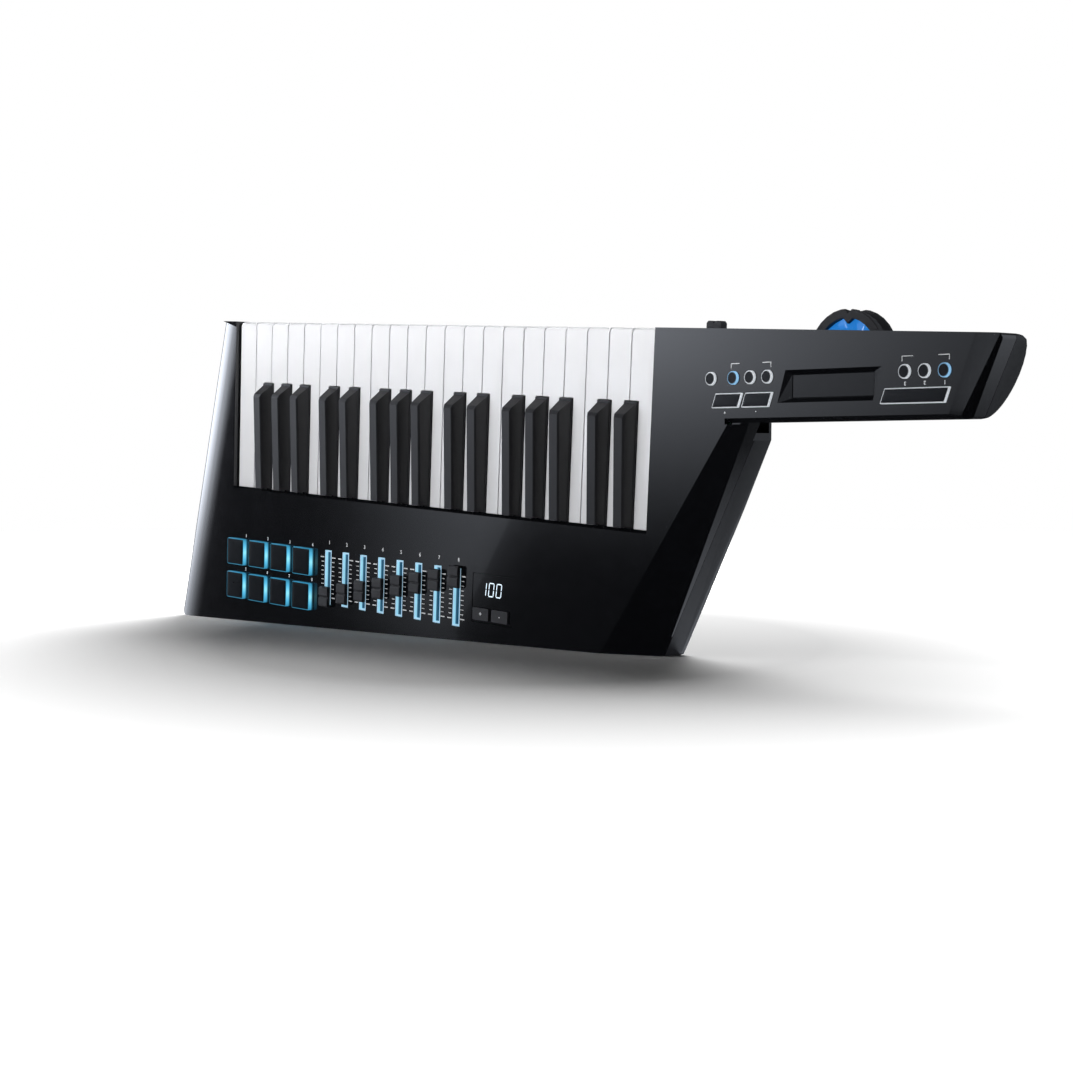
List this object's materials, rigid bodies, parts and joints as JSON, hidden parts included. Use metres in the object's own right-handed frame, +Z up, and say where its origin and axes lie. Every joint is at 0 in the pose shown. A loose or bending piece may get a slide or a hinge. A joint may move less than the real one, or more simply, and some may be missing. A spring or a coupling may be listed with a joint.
{
  "type": "keytar",
  "caption": "Strap-on keyboard controller: piano keys in a gloss black body, drum pads, lit sliders and a small display, with a slim control neck that has a touch strip and a pitch wheel.",
  "frame": {"origin": "middle of the footprint, on the floor the long lower edge stands on", "axes": "+X to the neck's end, +Z up, the keys and controls face -Y"},
  "size_m": [0.9196, 0.0534, 0.2663],
  "materials": {
    "gloss_black": "high gloss",
    "satin_black": "satin",
    "key_white": "gloss",
    "key_black": "satin",
    "pad_silicone": "soft matte",
    "lit_blue": "frosted, lit from behind",
    "dark_window": "high gloss",
    "clear_white": "frosted",
    "soft_black": "soft matte",
    "steel": "zinc plated",
    "board": "green lacquer"
  },
  "bodies": {
    "housing": {"front_housing": "gloss_black", "rear_cover": "satin_black", "keybed_chassis": "steel", "fader_light_guide": "lit_blue", "pad_mat": "pad_silicone", "display_lens": "dark_window", "touch_strip": "soft_black", "control_board": "board"},
    "white_key_01": {"white_key_01": "key_white"},
    "white_key_02": {"white_key_02": "key_white"},
    "white_key_03": {"white_key_03": "key_white"},
    "white_key_04": {"white_key_04": "key_white"},
    "white_key_05": {"white_key_05": "key_white"},
    "white_key_06": {"white_key_06": "key_white"},
    "white_key_07": {"white_key_07": "key_white"},
    "white_key_08": {"white_key_08": "key_white"},
    "white_key_09": {"white_key_09": "key_white"},
    "white_key_10": {"white_key_10": "key_white"},
    "white_key_11": {"white_key_11": "key_white"},
    "white_key_12": {"white_key_12": "key_white"},
    "white_key_13": {"white_key_13": "key_white"},
    "white_key_14": {"white_key_14": "key_white"},
    "white_key_15": {"white_key_15": "key_white"},
    "white_key_16": {"white_key_16": "key_white"},
    "white_key_17": {"white_key_17": "key_white"},
    "white_key_18": {"white_key_18": "key_white"},
    "white_key_19": {"white_key_19": "key_white"},
    "white_key_20": {"white_key_20": "key_white"},
    "white_key_21": {"white_key_21": "key_white"},
    "white_key_22": {"white_key_22": "key_white"},
    "black_key_01": {"black_key_01": "key_black"},
    "black_key_02": {"black_key_02": "key_black"},
    "black_key_03": {"black_key_03": "key_black"},
    "black_key_04": {"black_key_04": "key_black"},
    "black_key_05": {"black_key_05": "key_black"},
    "black_key_06": {"black_key_06": "key_black"},
    "black_key_07": {"black_key_07": "key_black"},
    "black_key_08": {"black_key_08": "key_black"},
    "black_key_09": {"black_key_09": "key_black"},
    "black_key_10": {"black_key_10": "key_black"},
    "black_key_11": {"black_key_11": "key_black"},
    "black_key_12": {"black_key_12": "key_black"},
    "black_key_13": {"black_key_13": "key_black"},
    "black_key_14": {"black_key_14": "key_black"},
    "black_key_15": {"black_key_15": "key_black"},
    "fader_cap_1": {"fader_cap_1": "soft_black"},
    "fader_cap_2": {"fader_cap_2": "soft_black"},
    "fader_cap_3": {"fader_cap_3": "soft_black"},
    "fader_cap_4": {"fader_cap_4": "soft_black"},
    "fader_cap_5": {"fader_cap_5": "soft_black"},
    "fader_cap_6": {"fader_cap_6": "soft_black"},
    "fader_cap_7": {"fader_cap_7": "soft_black"},
    "fader_cap_8": {"fader_cap_8": "soft_black"},
    "pitch_wheel": {"pitch_wheel": "soft_black"},
    "neck_fader_cap": {"neck_fader_cap": "satin_black"},
    "zone_buttons": {"zone_buttons": "clear_white"},
    "octave_buttons": {"octave_buttons": "clear_white"},
    "mode_buttons": {"mode_buttons": "clear_white"},
    "sustain_button": {"sustain_button": "clear_white"},
    "value_buttons": {"value_buttons": "soft_black"}
  },
  "joints": [
    {"name": "white_key_01_press", "type": "hinge", "parent": "housing", "child": "white_key_01", "pos_m": [-0.36727, -0.0043, 0.09409], "axis": [-0.9985, 0, 0.0541], "range_deg": [0, 3.3], "stiffness_Nm_per_rad": 1.5},
    {"name": "white_key_02_press", "type": "hinge", "parent": "housing", "child": "white_key_02", "pos_m": [-0.36727, -0.0043, 0.09409], "axis": [-0.9985, 0, 0.0541], "range_deg": [0, 3.3], "stiffness_Nm_per_rad": 1.5},
    {"name": "white_key_03_press", "type": "hinge", "parent": "housing", "child": "white_key_03", "pos_m": [-0.36727, -0.0043, 0.09409], "axis": [-0.9985, 0, 0.0541], "range_deg": [0, 3.3], "stiffness_Nm_per_rad": 1.5},
    {"name": "white_key_04_press", "type": "hinge", "parent": "housing", "child": "white_key_04", "pos_m": [-0.36727, -0.0043, 0.09409], "axis": [-0.9985, 0, 0.0541], "range_deg": [0, 3.3], "stiffness_Nm_per_rad": 1.5},
    {"name": "white_key_05_press", "type": "hinge", "parent": "housing", "child": "white_key_05", "pos_m": [-0.36727, -0.0043, 0.09409], "axis": [-0.9985, 0, 0.0541], "range_deg": [0, 3.3], "stiffness_Nm_per_rad": 1.5},
    {"name": "white_key_06_press", "type": "hinge", "parent": "housing", "child": "white_key_06", "pos_m": [-0.36727, -0.0043, 0.09409], "axis": [-0.9985, 0, 0.0541], "range_deg": [0, 3.3], "stiffness_Nm_per_rad": 1.5},
    {"name": "white_key_07_press", "type": "hinge", "parent": "housing", "child": "white_key_07", "pos_m": [-0.36727, -0.0043, 0.09409], "axis": [-0.9985, 0, 0.0541], "range_deg": [0, 3.3], "stiffness_Nm_per_rad": 1.5},
    {"name": "white_key_08_press", "type": "hinge", "parent": "housing", "child": "white_key_08", "pos_m": [-0.36727, -0.0043, 0.09409], "axis": [-0.9985, 0, 0.0541], "range_deg": [0, 3.3], "stiffness_Nm_per_rad": 1.5},
    {"name": "white_key_09_press", "type": "hinge", "parent": "housing", "child": "white_key_09", "pos_m": [-0.36727, -0.0043, 0.09409], "axis": [-0.9985, 0, 0.0541], "range_deg": [0, 3.3], "stiffness_Nm_per_rad": 1.5},
    {"name": "white_key_10_press", "type": "hinge", "parent": "housing", "child": "white_key_10", "pos_m": [-0.36727, -0.0043, 0.09409], "axis": [-0.9985, 0, 0.0541], "range_deg": [0, 3.3], "stiffness_Nm_per_rad": 1.5},
    {"name": "white_key_11_press", "type": "hinge", "parent": "housing", "child": "white_key_11", "pos_m": [-0.36727, -0.0043, 0.09409], "axis": [-0.9985, 0, 0.0541], "range_deg": [0, 3.3], "stiffness_Nm_per_rad": 1.5},
    {"name": "white_key_12_press", "type": "hinge", "parent": "housing", "child": "white_key_12", "pos_m": [-0.36727, -0.0043, 0.09409], "axis": [-0.9985, 0, 0.0541], "range_deg": [0, 3.3], "stiffness_Nm_per_rad": 1.5},
    {"name": "white_key_13_press", "type": "hinge", "parent": "housing", "child": "white_key_13", "pos_m": [-0.36727, -0.0043, 0.09409], "axis": [-0.9985, 0, 0.0541], "range_deg": [0, 3.3], "stiffness_Nm_per_rad": 1.5},
    {"name": "white_key_14_press", "type": "hinge", "parent": "housing", "child": "white_key_14", "pos_m": [-0.36727, -0.0043, 0.09409], "axis": [-0.9985, 0, 0.0541], "range_deg": [0, 3.3], "stiffness_Nm_per_rad": 1.5},
    {"name": "white_key_15_press", "type": "hinge", "parent": "housing", "child": "white_key_15", "pos_m": [-0.36727, -0.0043, 0.09409], "axis": [-0.9985, 0, 0.0541], "range_deg": [0, 3.3], "stiffness_Nm_per_rad": 1.5},
    {"name": "white_key_16_press", "type": "hinge", "parent": "housing", "child": "white_key_16", "pos_m": [-0.36727, -0.0043, 0.09409], "axis": [-0.9985, 0, 0.0541], "range_deg": [0, 3.3], "stiffness_Nm_per_rad": 1.5},
    {"name": "white_key_17_press", "type": "hinge", "parent": "housing", "child": "white_key_17", "pos_m": [-0.36727, -0.0043, 0.09409], "axis": [-0.9985, 0, 0.0541], "range_deg": [0, 3.3], "stiffness_Nm_per_rad": 1.5},
    {"name": "white_key_18_press", "type": "hinge", "parent": "housing", "child": "white_key_18", "pos_m": [-0.36727, -0.0043, 0.09409], "axis": [-0.9985, 0, 0.0541], "range_deg": [0, 3.3], "stiffness_Nm_per_rad": 1.5},
    {"name": "white_key_19_press", "type": "hinge", "parent": "housing", "child": "white_key_19", "pos_m": [-0.36727, -0.0043, 0.09409], "axis": [-0.9985, 0, 0.0541], "range_deg": [0, 3.3], "stiffness_Nm_per_rad": 1.5},
    {"name": "white_key_20_press", "type": "hinge", "parent": "housing", "child": "white_key_20", "pos_m": [-0.36727, -0.0043, 0.09409], "axis": [-0.9985, 0, 0.0541], "range_deg": [0, 3.3], "stiffness_Nm_per_rad": 1.5},
    {"name": "white_key_21_press", "type": "hinge", "parent": "housing", "child": "white_key_21", "pos_m": [-0.36727, -0.0043, 0.09409], "axis": [-0.9985, 0, 0.0541], "range_deg": [0, 3.3], "stiffness_Nm_per_rad": 1.5},
    {"name": "white_key_22_press", "type": "hinge", "parent": "housing", "child": "white_key_22", "pos_m": [-0.36727, -0.0043, 0.09409], "axis": [-0.9985, 0, 0.0541], "range_deg": [0, 3.3], "stiffness_Nm_per_rad": 1.5},
    {"name": "black_key_01_press", "type": "hinge", "parent": "housing", "child": "black_key_01", "pos_m": [-0.36727, -0.0043, 0.09409], "axis": [-0.9985, 0, 0.0541], "range_deg": [0, 3.3], "stiffness_Nm_per_rad": 1.5},
    {"name": "black_key_02_press", "type": "hinge", "parent": "housing", "child": "black_key_02", "pos_m": [-0.36727, -0.0043, 0.09409], "axis": [-0.9985, 0, 0.0541], "range_deg": [0, 3.3], "stiffness_Nm_per_rad": 1.5},
    {"name": "black_key_03_press", "type": "hinge", "parent": "housing", "child": "black_key_03", "pos_m": [-0.36727, -0.0043, 0.09409], "axis": [-0.9985, 0, 0.0541], "range_deg": [0, 3.3], "stiffness_Nm_per_rad": 1.5},
    {"name": "black_key_04_press", "type": "hinge", "parent": "housing", "child": "black_key_04", "pos_m": [-0.36727, -0.0043, 0.09409], "axis": [-0.9985, 0, 0.0541], "range_deg": [0, 3.3], "stiffness_Nm_per_rad": 1.5},
    {"name": "black_key_05_press", "type": "hinge", "parent": "housing", "child": "black_key_05", "pos_m": [-0.36727, -0.0043, 0.09409], "axis": [-0.9985, 0, 0.0541], "range_deg": [0, 3.3], "stiffness_Nm_per_rad": 1.5},
    {"name": "black_key_06_press", "type": "hinge", "parent": "housing", "child": "black_key_06", "pos_m": [-0.36727, -0.0043, 0.09409], "axis": [-0.9985, 0, 0.0541], "range_deg": [0, 3.3], "stiffness_Nm_per_rad": 1.5},
    {"name": "black_key_07_press", "type": "hinge", "parent": "housing", "child": "black_key_07", "pos_m": [-0.36727, -0.0043, 0.09409], "axis": [-0.9985, 0, 0.0541], "range_deg": [0, 3.3], "stiffness_Nm_per_rad": 1.5},
    {"name": "black_key_08_press", "type": "hinge", "parent": "housing", "child": "black_key_08", "pos_m": [-0.36727, -0.0043, 0.09409], "axis": [-0.9985, 0, 0.0541], "range_deg": [0, 3.3], "stiffness_Nm_per_rad": 1.5},
    {"name": "black_key_09_press", "type": "hinge", "parent": "housing", "child": "black_key_09", "pos_m": [-0.36727, -0.0043, 0.09409], "axis": [-0.9985, 0, 0.0541], "range_deg": [0, 3.3], "stiffness_Nm_per_rad": 1.5},
    {"name": "black_key_10_press", "type": "hinge", "parent": "housing", "child": "black_key_10", "pos_m": [-0.36727, -0.0043, 0.09409], "axis": [-0.9985, 0, 0.0541], "range_deg": [0, 3.3], "stiffness_Nm_per_rad": 1.5},
    {"name": "black_key_11_press", "type": "hinge", "parent": "housing", "child": "black_key_11", "pos_m": [-0.36727, -0.0043, 0.09409], "axis": [-0.9985, 0, 0.0541], "range_deg": [0, 3.3], "stiffness_Nm_per_rad": 1.5},
    {"name": "black_key_12_press", "type": "hinge", "parent": "housing", "child": "black_key_12", "pos_m": [-0.36727, -0.0043, 0.09409], "axis": [-0.9985, 0, 0.0541], "range_deg": [0, 3.3], "stiffness_Nm_per_rad": 1.5},
    {"name": "black_key_13_press", "type": "hinge", "parent": "housing", "child": "black_key_13", "pos_m": [-0.36727, -0.0043, 0.09409], "axis": [-0.9985, 0, 0.0541], "range_deg": [0, 3.3], "stiffness_Nm_per_rad": 1.5},
    {"name": "black_key_14_press", "type": "hinge", "parent": "housing", "child": "black_key_14", "pos_m": [-0.36727, -0.0043, 0.09409], "axis": [-0.9985, 0, 0.0541], "range_deg": [0, 3.3], "stiffness_Nm_per_rad": 1.5},
    {"name": "black_key_15_press", "type": "hinge", "parent": "housing", "child": "black_key_15", "pos_m": [-0.36727, -0.0043, 0.09409], "axis": [-0.9985, 0, 0.0541], "range_deg": [0, 3.3], "stiffness_Nm_per_rad": 1.5},
    {"name": "fader_cap_1_slide", "type": "slide", "parent": "housing", "child": "fader_cap_1", "axis": [0.0541, 0, 0.9985], "range_m": [-0.00055, 0.03345]},
    {"name": "fader_cap_2_slide", "type": "slide", "parent": "housing", "child": "fader_cap_2", "axis": [0.0541, 0, 0.9985], "range_m": [-0.00525, 0.02875]},
    {"name": "fader_cap_3_slide", "type": "slide", "parent": "housing", "child": "fader_cap_3", "axis": [0.0541, 0, 0.9985], "range_m": [-0.00995, 0.02405]},
    {"name": "fader_cap_4_slide", "type": "slide", "parent": "housing", "child": "fader_cap_4", "axis": [0.0541, 0, 0.9985], "range_m": [-0.01465, 0.01935]},
    {"name": "fader_cap_5_slide", "type": "slide", "parent": "housing", "child": "fader_cap_5", "axis": [0.0541, 0, 0.9985], "range_m": [-0.01935, 0.01465]},
    {"name": "fader_cap_6_slide", "type": "slide", "parent": "housing", "child": "fader_cap_6", "axis": [0.0541, 0, 0.9985], "range_m": [-0.02405, 0.00995]},
    {"name": "fader_cap_7_slide", "type": "slide", "parent": "housing", "child": "fader_cap_7", "axis": [0.0541, 0, 0.9985], "range_m": [-0.02875, 0.00525]},
    {"name": "fader_cap_8_slide", "type": "slide", "parent": "housing", "child": "fader_cap_8", "axis": [0.0541, 0, 0.9985], "range_m": [-0.03345, 0.00055]},
    {"name": "pitch_wheel_turn", "type": "hinge", "parent": "housing", "child": "pitch_wheel", "pos_m": [0.33121, -0.00205, 0.20964], "axis": [0, 1, 0], "range_deg": [-50, 50], "stiffness_Nm_per_rad": 0.05},
    {"name": "neck_fader_slide", "type": "slide", "parent": "housing", "child": "neck_fader_cap", "axis": [0.9985, 0, -0.0541], "range_m": [-0.015, 0.015]},
    {"name": "zone_buttons_press", "type": "slide", "parent": "housing", "child": "zone_buttons", "axis": [0, 1, 0], "range_m": [0, 0.0008], "stiffness_N_per_m": 800},
    {"name": "octave_buttons_press", "type": "slide", "parent": "housing", "child": "octave_buttons", "axis": [0, 1, 0], "range_m": [0, 0.0008], "stiffness_N_per_m": 800},
    {"name": "mode_buttons_press", "type": "slide", "parent": "housing", "child": "mode_buttons", "axis": [0, 1, 0], "range_m": [0, 0.0008], "stiffness_N_per_m": 800},
    {"name": "sustain_button_press", "type": "slide", "parent": "housing", "child": "sustain_button", "axis": [0, 1, 0], "range_m": [0, 0.0008], "stiffness_N_per_m": 800},
    {"name": "value_buttons_press", "type": "slide", "parent": "housing", "child": "value_buttons", "axis": [0, 1, 0], "range_m": [0, 0.0008], "stiffness_N_per_m": 800}
  ]
}
